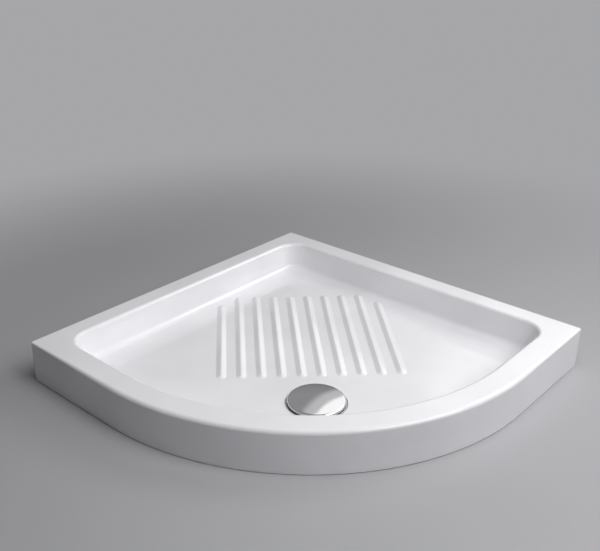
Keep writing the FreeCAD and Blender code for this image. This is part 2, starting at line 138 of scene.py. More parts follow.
class WasteSizes(PropertyGroup):
    """Sizes of the waste's fine pieces."""
    cap_lip: length("Cap Lip", 5, "Rounding of the cap's edge")
    cap_side: length("Cap Side", 1, "Upright edge of the cap below its rounding")
    cap_crown: length("Cap Crown", 420, "Radius of the cap's domed top")
    cap_wall: length("Cap Wall", 1.2, "Thickness of the cap")
    screw_count: number("Screws", 4, "Screws in the flange", min=1, max=12)
    screw_circle: length("Screw Circle", 38.15, "Waste axis to the screws")
    screw_head: length("Screw Head", 7.2, "Diameter of a screw's head")
    screw_shank: length("Screw Shank", 4, "Diameter of a screw's shank")
    screw_slot: length("Screw Slot", 0.9, "Width of the cross in a screw's head")
    prong_places: number(
        "Prong Places", 30, "Places for prongs and cover legs round the comb", min=3, max=90)
    leg_count: number("Legs", 3, "Legs of the cover, which take a place each", min=1)
    prong_width: length("Prong Width", 2.4, "Diameter of a prong at its root")
    prong_circle: length("Prong Circle", 35.5, "Waste axis to the prongs")
    comb_wall: length("Comb Wall", 1.46, "Thickness of the comb ring")
    comb_width: length("Comb Width", 8, "Width of the comb ring")


class Finishes(PropertyGroup):
    """Colours of the finishes."""
    glaze: colour("Glaze", "#f4f4f7", "White tin glaze")
    glaze_thin: colour("Thin Glaze", "#eeeef1", "Glaze where it lies a little thinner")
    bare_clay: colour("Bare Clay", "#cdbfa9", "Fired clay without glaze")
    bare_grog: colour("Grog", "#a99a85", "Grains in the bare clay")
    chrome: colour("Chrome", "#d1d1d2", "Chrome plate")
    stainless: colour("Stainless", "#c3c4c5", "Stainless steel")
    screw: colour("Screw Steel", "#b9babb", "Screw steel")
    brass: colour("Brass", "#c9a557", "Turned brass")
    rubber: colour("Rubber", "#1f1f20", "Black seal rubber")
    talc: colour("Talc", "#343435", "Rubber dusted with talc")
    body: colour("Body", "#666a6e", "Grey polypropylene of the waste body")
    trap: colour("Trap", "#e9e8e2", "White polypropylene of the trap bell")
    catcher: colour("Catcher", "#a3a8ac", "Light grey polypropylene of the hair catcher")
    carrier: colour("Carrier", "#3b3d40", "Dark polypropylene of the cover carrier")


class StageSettings(PropertyGroup):
    """Floor, light and camera."""
    floor: colour("Floor", "#adadb0", "Pale studio floor")
    background: colour("Background", "#a6a6a9", "Even background that the floor runs out into")
    ambient_colour: colour("Ambient Colour", "#e4e4ea", "Colour of the even light all round")
    ambient: amount("Ambient", 0.03, "Strength of the even light all round")
    key_power: power("Key Power", 17, "Soft key lamp on the right")
    side_power: power("Side Power", 15.5, "Soft lamp behind, on the right")
    top_power: power("Top Power", 16.5, "Soft lamp overhead, right of the front")
    glow: amount("Glow", 1.8, "Soft bright panel that the chrome mirrors")
    halo: amount("Halo", 0.6, "Softer border of that panel")
    glow_bearing: degrees("Glow Bearing", 50, "Where the glow stands, round from +X")
    glow_height: degrees("Glow Height", 35, "How high the glow stands")
    horizon_shade: amount(
        "Horizon Shade", 0.4, "How far the horizon that the chrome mirrors is darkened", max=0.5)
    camera_place: FloatVectorProperty(
        name="Camera Place", description="Where the camera stands", default=(0.957, -1.171, 0.922), size=3,
        subtype="TRANSLATION", unit="LENGTH")
    azimuth: degrees("Azimuth", 42.09, "Camera's bearing")
    elevation: degrees("Elevation", 24.81, "How far the camera looks down")
    lens: FloatProperty(name="Lens", description="Focal length", default=50.5, min=1, unit="CAMERA")
    shift: measure(
        1, "NONE", "Shift", 0.044, "Sideways shift of the lens, as a share of the picture's width")


class ShowerTraySettings(PropertyGroup):
    """All that can be changed on the shower tray."""
    tray: PointerProperty(type=TraySizes, name="Tray", description="Sizes of the ceramic tray")
    ribs: PointerProperty(type=RibSizes, name="Ribs", description="Sizes of the anti-slip ribs")
    waste: PointerProperty(type=WasteSizes, name="Waste", description="Sizes of the waste's fine pieces")
    finish: PointerProperty(type=Finishes, name="Finishes", description="Colours of the finishes")
    stage: PointerProperty(type=StageSettings, name="Stage", description="Floor, light and camera")


# Node trees

MIX_A, MIX_B = 6, 7    # the two colours of a Mix node
COLOUR = {"out": 2, "data_type": "RGBA"}    # and what makes it mix colours
SMOOTH = {"interpolation_type": "SMOOTHSTEP"}    # a soft start and end of a Map Range


def add(tree, kind, inputs=(), out=0, **settings):
    """Adds a node, feeds its inputs with values or other nodes' sockets, and gives one of its outputs.

    A kind without Node in its name is a shader node's. Inputs go by name, or in order as a tuple.
    """
    node = tree.nodes.new(kind if "Node" in kind else "ShaderNode" + kind)
    for name, value in settings.items():
        setattr(node, name, value)
    for name, value in inputs.items() if isinstance(inputs, dict) else enumerate(inputs):
        for fed in value if isinstance(value, list) else [value]:
            if isinstance(fed, bpy.types.NodeSocket):
                tree.links.new(fed, node.inputs[name])
            else:
                node.inputs[name].default_value = fed
    return node.outputs[out] if node.outputs else None


def start_tree(owner):
    """Empties the tree of a material or world, and gives the function that adds nodes to it."""
    owner.use_nodes = True
    owner.node_tree.nodes.clear()
    return partial(add, owner.node_tree)


def start_material(name):
    """A material with an empty tree: the material, what adds nodes to it, and the Object coordinates."""
    material = bpy.data.materials.new(name)
    node = start_tree(material)
    return material, node, node("TexCoord", out="Object")


def start_geometry(name, sockets):
    """A geometry node tree with named inputs: the tree, what adds nodes to it, and its inputs."""
    tree = bpy.data.node_groups.new(name, "GeometryNodeTree")
    for socket, kind in {"Geometry": "Geometry", **sockets}.items():
        tree.interface.new_socket(socket, in_out="INPUT", socket_type="NodeSocket" + kind)
    tree.interface.new_socket("Geometry", in_out="OUTPUT", socket_type="NodeSocketGeometry")
    node = partial(add, tree)
    return tree, node, node("NodeGroupInput").node.outputs


def solid(rgb, shade=1.0):
    """A colour, or a shade of it, for a node's socket."""
    return (*(c * shade for c in rgb), 1)


# Materials

def surface(material, node, tone, worn, rough, grain, depth, spread=(0.3, 0.7), **more):
    """Closes a material: roughness follows one pattern between two values, relief another to a depth."""
    dull = node("MapRange", {
        "Value": worn, "From Min": spread[0], "From Max": spread[1], "To Min": rough[0], "To Max": rough[1]})
    relief = node("Bump", {"Height": grain, "Distance": depth})
    shader = node("BsdfPrincipled", {"Base Color": tone, "Roughness": dull, "Normal": relief, **more})
    node("OutputMaterial", {"Surface": shader})
    return material


def glazed_fireclay(finish):
    """Fireclay dipped in white glaze: glassy, faintly wavy, a shade uneven, and sandy where it is wiped."""
    material, node, place = start_material("Glazed fireclay")
    pour = node("TexNoise", {"Vector": place, "Scale": 1 / (140 * MM)})
    thin = node("MapRange", {"Value": pour, "From Min": 0.35, "From Max": 0.65})
    glaze = node("Mix", {0: thin, MIX_A: solid(finish.glaze), MIX_B: solid(finish.glaze_thin)}, **COLOUR)
    grains = node("TexNoise", {"Vector": place, "Scale": 1 / (1.6 * MM), "Detail": 4.0})
    grog = node("MapRange", {"Value": grains, "From Min": 0.4, "From Max": 0.62})
    clay = node("Mix", {0: grog, MIX_A: solid(finish.bare_clay), MIX_B: solid(finish.bare_grog)}, **COLOUR)
    wiped = node("Attribute", out="Fac", attribute_name="unglazed")
    drips = node("TexNoise", {"Vector": place, "Scale": 1 / (9 * MM)})
    wander = node("Math", (drips, 0.9, wiped), operation="MULTIPLY_ADD")
    bare = node("MapRange", {"Value": wander, "From Min": 0.9, "From Max": 1.05})
    tone = node("Mix", {0: bare, MIX_A: glaze, MIX_B: clay}, **COLOUR)
    haze = node("TexNoise", {"Vector": place, "Scale": 1 / (30 * MM)})
    polish = node("MapRange", {
        "Value": haze, "From Min": 0.3, "From Max": 0.7, "To Min": 0.05, "To Max": 0.09})
    rough = node("MapRange", {"Value": bare, "To Min": polish, "To Max": 0.85})
    swell = node("TexNoise", {"Vector": place, "Scale": 1 / (55 * MM), "Detail": 0.0})
    wavy = node("Bump", {"Height": swell, "Distance": 0.1 * MM})
    peel = node("TexNoise", {"Vector": place, "Scale": 1 / (9 * MM), "Detail": 1.0})
    skin = node("Bump", {"Height": peel, "Distance": 0.012 * MM, "Normal": wavy})
    sand = node("Math", (grains, bare), operation="MULTIPLY")
    relief = node("Bump", {"Height": sand, "Distance": 0.25 * MM, "Normal": skin})
    shader = node("BsdfPrincipled", {"Base Color": tone, "Roughness": rough, "IOR": 1.52, "Normal": relief})
    node("OutputMaterial", {"Surface": shader})
    return material


def chrome_plate(finish):
    """Polished chrome plate: a mirror with wiping haze and a trace of unevenness from the pressing."""
    material, node, place = start_material("Chrome plate")
    haze = node("TexNoise", {"Vector": place, "Scale": 1 / (22 * MM), "Detail": 3.0})
    tone = node("Mix", {0: haze, MIX_A: solid(finish.chrome), MIX_B: solid(finish.chrome, 0.94)}, **COLOUR)
    swell = node("TexNoise", {"Vector": place, "Scale": 1 / (26 * MM), "Detail": 0.0})
    return surface(
        material, node, tone, worn=haze, rough=(0.03, 0.1), grain=swell, depth=0.03 * MM, spread=(0.3, 0.75),
        Metallic=1.0)


def satin_stainless(finish):
    """Pressed stainless steel, polished on a turntable: fine rings about the waste axis, a satin sheen."""
    material, node, place = start_material("Satin stainless steel")
    centred = node("Mapping", {"Vector": place, "Location": (-WASTE.x, -WASTE.y, 0)})
    # Polishing rings 1.3 mm apart, coarser than the real ones so that they show; 20 radians to a wave's unit
    rings = node("TexWave", {
        "Vector": centred, "Scale": TURN / (20 * 1.3 * MM), "Distortion": 1.2, "Detail Scale": 0.8}, "Fac",
        wave_type="RINGS", rings_direction="Z")
    tone = node("Mix", {
        0: rings, MIX_A: solid(finish.stainless), MIX_B: solid(finish.stainless, 0.9)}, **COLOUR)
    stain = node("TexNoise", {"Vector": place, "Scale": 1 / (12 * MM), "Detail": 3.0})
    return surface(
        material, node, tone, worn=stain, rough=(0.24, 0.36), grain=rings, depth=0.01 * MM, Metallic=1.0)


def small_metal(name, rgb):
    """Small headed and tumbled metal pieces: bright, with tiny dents and dull spots from the barrel."""
    material, node, place = start_material(name)
    dents = node("TexNoise", {"Vector": place, "Scale": 1 / (1.2 * MM), "Detail": 3.0})
    tone = node("Mix", {0: dents, MIX_A: solid(rgb), MIX_B: solid(rgb, 0.82)}, **COLOUR)
    return surface(
        material, node, tone, worn=dents, rough=(0.18, 0.34), grain=dents, depth=0.02 * MM, Metallic=1.0)


def moulded_polypropylene(name, rgb):
    """Injection-moulded polypropylene: waxy, with a spark-eroded grain and faint flow clouds."""
    material, node, place = start_material(name)
    flow = node("TexNoise", {"Vector": place, "Scale": 1 / (15 * MM)})
    clouds = node("MapRange", {"Value": flow, "From Min": 0.35, "From Max": 0.65})
    tone = node("Mix", {0: clouds, MIX_A: solid(rgb), MIX_B: solid(rgb, 0.9)}, **COLOUR)
    # A grain of 0.7 mm, coarser than the real one so that it shows
    grain = node("TexNoise", {"Vector": place, "Scale": 1 / (0.7 * MM)})
    return surface(
        material, node, tone, worn=grain, rough=(0.34, 0.48), grain=grain, depth=0.02 * MM, IOR=1.49)


def seal_rubber(finish):
    """Moulded EPDM rubber: black, dull, dusted with talc in cloudy patches."""
    material, node, place = start_material("EPDM rubber")
    talc = node("TexNoise", {"Vector": place, "Scale": 1 / (8 * MM), "Detail": 4.0})
    dusted = node("MapRange", {"Value": talc, "From Min": 0.45, "From Max": 0.75, "To Max": 0.6})
    tone = node("Mix", {0: dusted, MIX_A: solid(finish.rubber), MIX_B: solid(finish.talc)}, **COLOUR)
    # A grain of 0.8 mm, coarser than the real one so that it shows
    grain = node("TexNoise", {"Vector": place, "Scale": 1 / (0.8 * MM)})
    return surface(material, node, tone, worn=talc, rough=(0.6, 0.85), grain=grain, depth=0.02 * MM)


# Mesh helpers

def new_object(name, data):
    """An object for a mesh, lamp or camera, linked into the scene."""
    made = bpy.data.objects.new(name, data)
    bpy.context.scene.collection.objects.link(made)
    return made


def mesh_from(name, bm, material):
    """Turns a bmesh into a smooth-shaded mesh with its sharp edges marked."""
    bmesh.ops.recalc_face_normals(bm, faces=bm.faces)
    mesh = bpy.data.meshes.new(name)
    bm.to_mesh(mesh)
    bm.free()
    mesh.polygons.foreach_set("use_smooth", [True] * len(mesh.polygons))
    mesh.set_sharp_from_angle(angle=CREASE)
    mesh.materials.append(material)
    return mesh


def band(bm, first, second):
    """Faces between two closed loops with the same number of points."""
    count = len(first)
    for i in range(count):
        j = (i + 1) % count
        bm.faces.new((first[i], second[i], second[j], first[j]))


def zip_loops(bm, first, second, centre):
    """Triangles between two closed loops round a centre, whatever their numbers of points."""
    def bearing(vert):
        return math.atan2(vert.co.y - centre.y, vert.co.x - centre.x)

    first, second = sorted(first, key=bearing), sorted(second, key=bearing)
    marks_a = [bearing(v) for v in first] + [bearing(first[0]) + TURN]
    marks_b = [bearing(v) for v in second] + [bearing(second[0]) + TURN]
    i = j = 0
    while i < len(first) or j < len(second):
        a, b = first[i % len(first)], second[j % len(second)]
        if j == len(second) or (i < len(first) and marks_a[i + 1] <= marks_b[j + 1]):
            bm.faces.new((a, b, first[(i + 1) % len(first)]))
            i += 1
        else:
            bm.faces.new((a, b, second[(j + 1) % len(second)]))
            j += 1


def lathe(bm, outline, axis, steps):
    """A shape turned about an upright axis from (radius, height) points; a radius of 0 makes a pole."""
    turns = [TURN * i / steps for i in range(steps)]
    loops = []
    for radius, height in outline:
        spots = [(axis.x + radius * math.cos(t), axis.y + radius * math.sin(t), height) for t in turns]
        loops.append([bm.verts.new(spot) for spot in (spots if radius else spots[:1])])
    for first, second in zip(loops, loops[1:]):
        for i in range(steps):
            j = (i + 1) % steps
            corners = [loop[k % len(loop)] for loop, k in ((first, i), (first, j), (second, j), (second, i))]
            bm.faces.new(list(dict.fromkeys(corners)))
    return loops


def arc(centre, radius, first, last, steps):
    """Points of an arc in a section, bearings in radians."""
    angles = [first + (last - first) * i / steps for i in range(steps + 1)]
    return [(centre[0] + radius * math.cos(a), centre[1] + radius * math.sin(a)) for a in angles]


def built(mesh, tree, values):
    """Runs a geometry node tree on a mesh and gives the result as a plain mesh in its place."""
    base = new_object(mesh.name, mesh)
    modifier = base.modifiers.new(tree.name, "NODES")
    modifier.node_group = tree
    for item in tree.interface.items_tree:
        if item.in_out == "INPUT" and item.name in values:
            modifier[item.identifier] = values[item.name]
    depsgraph = bpy.context.evaluated_depsgraph_get()
    made = bpy.data.meshes.new_from_object(base.evaluated_get(depsgraph))
    base.modifiers.clear()
    bpy.data.objects.remove(base)
    bpy.data.meshes.remove(mesh)
    return made


# Ceramic tray

CORNER_STEPS, SIDE_STEPS, RETURN_STEPS, FRONT_STEPS = 12, 40, 16, 96    # round the plan
FOOT_STEPS, EDGE_STEPS, HOLLOW_STEPS = 6, 10, 12    # across the roundings
SKIRT_LOOPS = (0.2, 0.45, 0.7)    # heights of the loops up the skirt
WALL_LOOPS = (0.33, 0.67)    # places of the loops down a basin wall
SETTLING = 4    # rounds that find where a leaning wall meets the falling floor
CROWN_STEPS, BLEND_STEPS, RIB_END_STEPS, RIB_RUN_STEPS = 8, 6, 12, 14
FLANK_LOOPS = (0.08, 0.92)    # loops near the ends of a rib's flank, which keep it flat
LIP_STEPS, RECESS_STEPS = 5, 96
GRID_STEP, GRID_ROW = 16 * MM, 0.87    # side of the basin floor's triangles, their height as a share of it
GRID_JOIN = 1e-5    # in millimetres, points of that grid nearer than this become one
SKIN_TURN = math.radians(45)    # the glazed skin ends where the CAD surface turns by more
WIPED, WIPED_SMOOTH = 1.0, 0.99    # without glaze; faces whose points all have the first are shaded flat


def front_middle(tray):
    """Centre of the curved front in plan."""
    return Vector((tray.side / 2 - tray.front_radius, tray.front_radius - tray.side / 2))


def plan_loop(tray, wall_inset, front_inset, corner):
    """The tray's plan as (point, inward normal, share of the front's rounding), clockwise from above."""
    half, middle = tray.side / 2, front_middle(tray)
    left, back = wall_inset - half, half - wall_inset
    right, near = half - front_inset, front_inset - half
    loop = []

    def turn(centre, radius, first, steps, front):
        for i in range(steps):
            angle = math.radians(first - 90 * i / steps)
            out = Vector((math.cos(angle), math.sin(angle)))
            loop.append((Vector(centre) + out * radius, -out, front))

    def run(start, end, steps, front_first, front_last):
        start, end = Vector(start), Vector(end)
        ahead = (end - start).normalized()
        for i in range(steps):
            share = i / steps
            front = front_first + (front_last - front_first) * share
            loop.append((start.lerp(end, share), Vector((ahead.y, -ahead.x)), front))

    turn((left + corner, near + corner), corner, 270, CORNER_STEPS, 0)
    run((left, near + corner), (left, back - corner), SIDE_STEPS, 0, 0)
    turn((left + corner, back - corner), corner, 180, CORNER_STEPS, 0)
    run((left + corner, back), (right - corner, back), SIDE_STEPS, 0, 0)
    turn((right - corner, back - corner), corner, 90, CORNER_STEPS, 0)
    run((right, back - corner), (right, middle.y), RETURN_STEPS, 0, 1)
    turn(middle, tray.front_radius - front_inset, 0, FRONT_STEPS, 1)
    run((middle.x, near), (left + corner, near), RETURN_STEPS, 1, 0)
    return loop


def floor_z(tray, place):
    """Height of the basin floor at a place in plan."""
    return tray.floor_level + tray.floor_fall * max(0, (place - WASTE.xy).length - tray.pool)


def outer_section(tray, edge):
    """Rounded foot, skirt and rounded top edge as (inset, height) points, for one radius of the top edge."""
    top, foot = tray.height, tray.foot_edge
    footing = [(foot + x, z) for x, z in arc((0, foot), foot, 3 * QUARTER, math.pi, FOOT_STEPS)]
    levels = [foot + SUPPORT] + [share * top for share in SKIRT_LOOPS] + [top - edge - SUPPORT]
    rounding = [(edge + x, z) for x, z in arc((0, top - edge), edge, math.pi, QUARTER, EDGE_STEPS)]
    return footing + [(0, z) for z in levels] + rounding + [(edge + SUPPORT, top)]


def basin_section(tray, place, inward):
    """Inner edge, leaning wall and hollow foot as (offset, height) points, at one place of the basin."""
    top, lean = tray.height, tray.lean
    reach = tray.basin_edge * math.tan((QUARTER - lean) / 2)
    edge = arc((-reach, top - tray.basin_edge), tray.basin_edge, QUARTER, lean, EDGE_STEPS)
    offset = 0
    for _ in range(SETTLING):
        offset = (top - floor_z(tray, place + inward * offset)) * math.tan(lean)
    corner = place + inward * offset
    level = floor_z(tray, corner)
    slope = (floor_z(tray, corner + inward * MM) - level) / MM
    tilt = QUARTER + math.atan(slope)
    wall_out = Vector((math.cos(lean), math.sin(lean)))
    floor_up = Vector((math.cos(tilt), math.sin(tilt)))
    rise = tray.basin_foot / (1 + wall_out.dot(floor_up))
    middle = Vector((offset, level)) + (wall_out + floor_up) * rise
    foot = arc(middle, tray.basin_foot, lean + math.pi, tilt + math.pi, HOLLOW_STEPS)
    down = Vector((math.sin(lean), -math.cos(lean)))
    upper, lower = Vector(edge[-1]) + down * SUPPORT, Vector(foot[0]) - down * SUPPORT
    wall = [upper] + [upper.lerp(lower, share) for share in WALL_LOOPS] + [lower]
    last = Vector(foot[-1]) + Vector((1, slope)).normalized() * SUPPORT
    return [(-reach - SUPPORT, top)] + edge + wall + foot + [last]


def add_rings(bm, loop, sections):
    """Vertices of all the loops that the sections draw along a plan loop, with faces between them."""
    rings = []
    for row in zip(*sections):
        ring = []
        for (place, inward, _), (offset, z) in zip(loop, row):
            spot = place + inward * offset
            ring.append(bm.verts.new((spot.x, spot.y, z)))
        if rings:
            band(bm, rings[-1], ring)
        rings.append(ring)
    return rings


def rib_mesh(ribs, material):
    """One rib from the origin along -X: crown, flanks, hollow foot and a strip of floor round it."""
    half, middle = ribs.width / 2, ribs.height - ribs.crown
    slope = math.asin(ribs.crown / math.hypot(half, middle)) + math.atan2(middle, half)
    reach = half + ribs.blend * math.tan(slope / 2)
    crown = arc((0, middle), ribs.crown, QUARTER, QUARTER - slope, CROWN_STEPS)
    hollow = arc((reach, ribs.blend), ribs.blend, 3 * QUARTER - slope, 3 * QUARTER, BLEND_STEPS)
    flank = Vector(hollow[0]) - Vector(crown[-1])
    sides = [Vector(crown[-1]) + flank * share for share in FLANK_LOOPS]
    section = crown + sides + hollow + [(reach + SUPPORT, 0)]
    front, back = -half, half - ribs.run
    path = []
    for near, far, side in ((front, back, 1), (back, front, -1)):
        for i in range(RIB_END_STEPS + 1):
            angle = math.pi * (i / RIB_END_STEPS - side / 2)
            path.append((near, math.cos(angle), math.sin(angle)))
        path += [(near + (far - near) * i / RIB_RUN_STEPS, 0, side) for i in range(1, RIB_RUN_STEPS)]
    bm = bmesh.new()
    rings = []
    for distance, height in section:
        rings.append([bm.verts.new((x + distance * c, distance * s, height)) for x, c, s in path])
    for first, second in zip(rings, rings[1:]):
        band(bm, first, second)
    bmesh.ops.remove_doubles(bm, verts=bm.verts, dist=WELD)
    return mesh_from("rib", bm, material)


def rib_row_tree():
    """Copies one rib along a row, shortens the ribs at both ends, and sets them all on the falling floor."""
    tree, node, given = start_geometry("Rib row", {
        "Count": "Int", "Pitch": "Float", "Straight From": "Float", "Straight To": "Float",
        "Shortening": "Float", "Front": "Vector", "Waste": "Vector", "Level": "Float", "Fall": "Float",
        "Pool": "Float", "Material": "Material"})
    place = node("GeometryNodeInputPosition")
    x = node("SeparateXYZ", {0: place})
    shift = node("MapRange", {
        "Value": x, "From Min": given["Straight From"], "From Max": given["Straight To"],
        "To Max": given["Shortening"]})
    forward = node("CombineXYZ", {"X": shift})
    short = node("GeometryNodeSetPosition", {"Geometry": given["Geometry"], "Offset": forward})
    pair = node("GeometryNodeGeometryToInstance", {0: [given["Geometry"], short]})
    last = node("Math", (given["Count"], 1.0), operation="SUBTRACT")
    span = node("Math", (last, given["Pitch"]), operation="MULTIPLY")
    half = node("Math", (span, -0.5), operation="MULTIPLY")
    first = node("CombineXYZ", {"Y": half})
    step = node("CombineXYZ", {"Y": given["Pitch"]})
    row = node("GeometryNodeMeshLine", {
        "Count": given["Count"], "Start Location": first, "Offset": step}, mode="OFFSET")
    index = node("GeometryNodeInputIndex")
    past_first = node("Math", (index, last), operation="MODULO")
    inner = node("Math", (past_first, 0.5), operation="GREATER_THAN")
    copies = node("GeometryNodeInstanceOnPoints", {
        "Points": row, "Instance": pair, "Pick Instance": True, "Instance Index": inner})
    turned = node("GeometryNodeTransform", {
        "Geometry": copies, "Translation": given["Front"], "Rotation": (0, 0, -QUARTER / 2)})
    real = node("GeometryNodeRealizeInstances", {0: turned})
    away = node("VectorMath", (place, given["Waste"]), operation="SUBTRACT")
    flat = node("VectorMath", (away, (1, 1, 0)), operation="MULTIPLY")
    far = node("VectorMath", {0: flat}, "Value", operation="LENGTH")
    past = node("Math", (far, given["Pool"]), operation="SUBTRACT")
    kept = node("Math", (past, 0.0), operation="MAXIMUM")
    rise = node("Math", (kept, given["Fall"], given["Level"]), operation="MULTIPLY_ADD")
    lift = node("CombineXYZ", {"Z": rise})
    seated = node("GeometryNodeSetPosition", {"Geometry": real, "Offset": lift})
    done = node("GeometryNodeSetMaterial", {"Geometry": seated, "Material": given["Material"]})
    node("NodeGroupOutput", {0: done})
    return tree


def rib_row(settings, material):
    """The whole row of ribs as one mesh."""
    tray, ribs = settings.tray, settings.ribs
    waste = WASTE.xy.to_3d()
    return built(rib_mesh(ribs, material), rib_row_tree(), {
        "Count": ribs.count, "Pitch": ribs.pitch, "Straight From": -ribs.width / 2,
        "Straight To": ribs.width / 2 - ribs.run, "Shortening": ribs.run - ribs.end_run,
        "Front": waste - ALONG * ribs.setback, "Waste": waste, "Level": tray.floor_level,
        "Fall": tray.floor_fall, "Pool": tray.pool, "Material": material})


def open_edges(verts):
    """The edges among these vertices that have a face on one side only."""
    edges = {edge for vert in verts for edge in vert.link_edges}
    return [edge for edge in edges if len(edge.link_faces) == 1]


def nearest_rib(ribs, spot):
    """How far a place is from the nearest rib's spine, how far aside, and at what share of the rib's run."""
    away = WASTE.xy - ALONG.xy * ribs.setback - spot
    behind, aside = away.dot(ALONG.xy), away.dot(ACROSS.xy)
    found = []
    for i in range(ribs.count):
        run = ribs.end_run if i in (0, ribs.count - 1) else ribs.run
        nearest = min(max(behind, ribs.width / 2), run - ribs.width / 2)
        beside = aside - (i - (ribs.count - 1) / 2) * ribs.pitch
        found.append((math.hypot(behind - nearest, beside), beside, behind / run))
    return min(found)


def islands(verts):
    """Which connected piece each vertex belongs to."""
    owner = {}
    for vert in verts:
        waiting = [] if vert in owner else [vert]
        name = len(owner)
        while waiting:
            spot = waiting.pop()
            if spot not in owner:
                owner[spot] = name
                waiting += [edge.other_vert(spot) for edge in spot.link_edges]
    return owner


def fill_floor(bm, settings, foot, rib_verts, mouth):
    """Basin floor between the foot of the walls, the ribs and the waste's recess, in even triangles."""
    tray, ribs = settings.tray, settings.ribs
    edges = [(loop[i - 1], loop[i]) for loop in (foot, mouth) for i in range(len(loop))]
    edges += [tuple(edge.verts) for edge in open_edges(rib_verts)]
    known = list(dict.fromkeys(vert for edge in edges for vert in edge))
    number_of = {vert: i for i, vert in enumerate(known)}
    owner = islands(rib_verts)
    spots = [vert.co.xy / MM for vert in known]
    for vert in known:
        if vert in owner:
            # A bulge in the plan alone, so that no three points of a rib's side are in line
            _, beside, share = nearest_rib(ribs, vert.co.xy)
            spots[number_of[vert]] -= ACROSS.xy * math.copysign(share * (1 - share), beside)
    owner.update((vert, "mouth") for vert in mouth)
    taken = KDTree(len(known))
    for vert in known:
        taken.insert(vert.co.xy.to_3d(), number_of[vert])
    taken.balance()
    reach = int(tray.side / GRID_STEP)
    for i in range(-reach, reach):
        for j in range(-reach, reach):
            cell = (ALONG * (i + (j % 2) / 2) + ACROSS * (j * GRID_ROW)).xy
            spot = cell * GRID_STEP + WASTE.xy
            off_rib = nearest_rib(ribs, spot)[0] > ribs.width / 2 + ribs.blend
            off_mouth = (spot - WASTE.xy).length > tray.pool
            if off_rib and off_mouth and taken.find(spot.to_3d())[2] > GRID_STEP / 2:
                spots.append(spot / MM)
    lines = [(number_of[a], number_of[b]) for a, b in edges]
    points, _, faces, sources, *_ = delaunay_2d_cdt(spots, lines, [], 1, GRID_JOIN)
    verts = []
    for point, source in zip(points, sources):
        if source and source[0] < len(known):
            verts.append(known[source[0]])
            continue
        spot = Vector(point) * MM
        verts.append(bm.verts.new((spot.x, spot.y, floor_z(tray, spot))))
    for face in faces:
        corners = [verts[i] for i in face]
        owners = {owner.get(vert) for vert in corners}
        if len(owners) > 1 or None in owners:
            bm.faces.new(corners)
    bmesh.ops.delete(bm, geom=[vert for vert in verts if not vert.link_faces], context="VERTS")


def patch(start, crosses):
    """The faces that can be reached from one face over edges that pass a test."""
    found, waiting = {start}, [start]
    while waiting:
        for edge in waiting.pop().edges:
            if len(edge.link_faces) == 2 and crosses(edge):
                fresh = [face for face in edge.link_faces if face not in found]
                found.update(fresh)
                waiting += fresh
    return found


def cad_underside():
    """The CAD tray without its visible skin: the underside with its webs, the seat and the hole."""
    bm = bmesh.new()
    bm.from_mesh(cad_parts["tray_body"].data)
    bmesh.ops.remove_doubles(bm, verts=bm.verts, dist=CAD_WELD)
    bm.normal_update()
    rim = max(bm.faces, key=lambda face: face.calc_center_median().z)
    skin = patch(rim, lambda edge: edge.calc_face_angle() < SKIN_TURN)
    bmesh.ops.delete(bm, geom=list(skin), context="FACES")
    ground = min(bm.faces, key=lambda face: face.calc_center_median().z)
    kept = patch(ground, lambda edge: True)
    bmesh.ops.delete(bm, geom=[face for face in bm.faces if face not in kept], context="FACES")
    mesh = bpy.data.meshes.new("underside")
    bm.to_mesh(mesh)
    bm.free()
    return mesh


def draw_in(verts, tray, distance):
    """Moves vertices that lie on the tray's outline inwards in plan, square to the outline."""
    core, middle = tray.side / 2 - tray.plan_corner, front_middle(tray)
    for vert in verts:
        spot = vert.co.xy
        inside = Vector((min(max(spot.x, -core), core), min(max(spot.y, -core), core)))
        if spot.x > middle.x and spot.y < middle.y:
            inside = middle
        vert.co.xy = spot + (inside - spot).normalized() * distance


def tray_mesh(settings, material):
    """Glazed skin drawn loop by loop, floor and ribs set into it, closed by the underside."""
    tray = settings.tray
    bm = bmesh.new()
    bare = bm.verts.layers.float.new("unglazed")
    bm.from_mesh(cad_underside())
    under_count = len(bm.verts)
    bm.from_mesh(rib_row(settings, material))
    bm.verts.ensure_lookup_table()
    under, rib_verts = bm.verts[:under_count], bm.verts[under_count:]
    for vert in under:
        vert[bare] = WIPED
    outer = plan_loop(tray, 0, 0, tray.plan_corner)
    basin = plan_loop(tray, tray.wall_rim, tray.front_rim, tray.basin_corner)
    edges = [tray.wall_edge + (tray.front_edge - tray.wall_edge) * front for _, _, front in outer]
    skirt = add_rings(bm, outer, [outer_section(tray, edge) for edge in edges])
    for vert in (vert for ring in skirt for vert in ring if vert.co.z < tray.bare_foot):
        vert[bare] = WIPED_SMOOTH
    bowl = add_rings(bm, basin, [basin_section(tray, place, inward) for place, inward, _ in basin])
    band(bm, skirt[-1], bowl[0])
    edge, level = tray.recess_edge, tray.floor_level
    lip = arc((tray.recess + edge, level - edge), edge, QUARTER, math.pi, LIP_STEPS)
    recess = lathe(bm, [(tray.recess + edge + SUPPORT, level)] + lip, WASTE, RECESS_STEPS)
    fill_floor(bm, settings, bowl[-1], rib_verts, recess[0])
    rims = {vert for edge in open_edges(under) for vert in edge.verts}
    ground = [vert for vert in rims if vert.co.z < MM]
    seat = [vert for vert in rims if vert.co.z > MM]
    draw_in(ground, tray, tray.foot_edge + SUPPORT)
    zip_loops(bm, skirt[0], ground, Vector((0, 0)))
    zip_loops(bm, recess[-1], seat, WASTE)
    if any(len(edge.link_faces) != 2 for edge in bm.edges):
        raise RuntimeError("the tray's skin is not closed")
    mesh = mesh_from("ceramic_tray", bm, material)
    wiped = mesh.attributes["unglazed"].data
    for face in mesh.polygons:
        face.use_smooth = any(wiped[i].value < WIPED for i in face.vertices)
    return mesh


# Waste pieces

